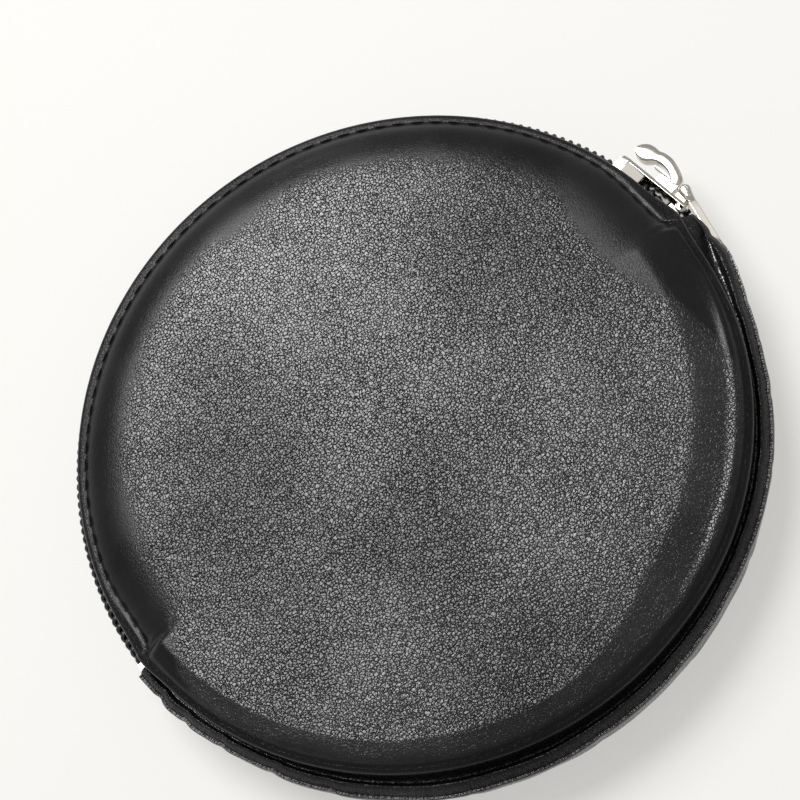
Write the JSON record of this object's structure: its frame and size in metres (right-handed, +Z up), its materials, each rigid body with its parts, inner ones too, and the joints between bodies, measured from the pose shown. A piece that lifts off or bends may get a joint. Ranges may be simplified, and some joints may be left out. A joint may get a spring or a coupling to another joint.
{
  "type": "coin purse",
  "caption": "Round flat coin purse in black padded leather: zip round half the rim, leather gusset round the other half, metal slider with a flat pull tab.",
  "frame": {"origin": "centre of the flat back face that the purse lies on", "axes": "+Z up through the purse's thickness, +Y towards the middle of the zip, -Y towards the middle of the leather gusset, +X towards the slider's closed end"},
  "size_m": [0.1027, 0.0979, 0.016],
  "materials": {
    "face_leather": "fine pebble grain, semi-gloss",
    "gusset_leather": "pebble grain, glossy on the ridges",
    "foam": "open-cell foam, matte",
    "board": "fibre board, matte",
    "lining": "fine twill, matte",
    "zip_tape": "herringbone tape, matte",
    "zip_coil": "nylon coil, satin",
    "thread": "waxed twisted thread",
    "nickel": "polished nickel plate",
    "spring_steel": "bare spring steel"
  },
  "bodies": {
    "back_half": {"back_panel": "face_leather", "back_padding": "foam", "back_board": "board", "back_lining": "lining", "gusset_lining": "lining", "gusset": "gusset_leather", "near_zip_end_tab": "gusset_leather", "far_zip_end_tab": "gusset_leather", "back_zip_tape": "zip_tape", "back_zip_coil": "zip_coil", "back_topstitching": "thread", "back_gusset_seam": "thread", "back_top_stop": "nickel", "zip_bottom_stop": "nickel"},
    "front_half": {"front_panel": "face_leather", "front_padding": "foam", "front_board": "board", "front_lining": "lining", "front_zip_tape": "zip_tape", "front_zip_coil": "zip_coil", "front_top_stop": "nickel", "front_topstitching": "thread", "front_gusset_seam": "thread"},
    "slider": {"slider_body": "nickel", "slider_bridge": "nickel", "slider_lock_spring": "spring_steel"},
    "pull_tab": {"pull_tab": "nickel", "pull_pin": "nickel"}
  },
  "joints": [
    {"name": "slider_travel", "type": "hinge", "parent": "back_half", "child": "slider", "pos_m": [0, 0, 0.008], "axis": [0, 0, 1], "range_deg": [0, 169], "deforming": ["back_zip_coil", "front_zip_coil"]},
    {"name": "front_open", "type": "hinge", "parent": "back_half", "child": "front_half", "pos_m": [0, -0.0025, 0.008], "axis": [1, 0, 0], "range_deg": [0, 9.5], "deforming": ["gusset", "gusset_lining", "front_zip_tape", "front_zip_coil", "front_gusset_seam", "back_gusset_seam"]},
    {"name": "pull_swing", "type": "hinge", "parent": "slider", "child": "pull_tab", "pos_m": [0.05136, 0.00133, 0.008], "axis": [0, 0, 1], "range_deg": [0, 135]}
  ],
  "couplings": [
    {"joint": "front_open", "follows": "slider_travel", "ratio": 0.056}
  ]
}
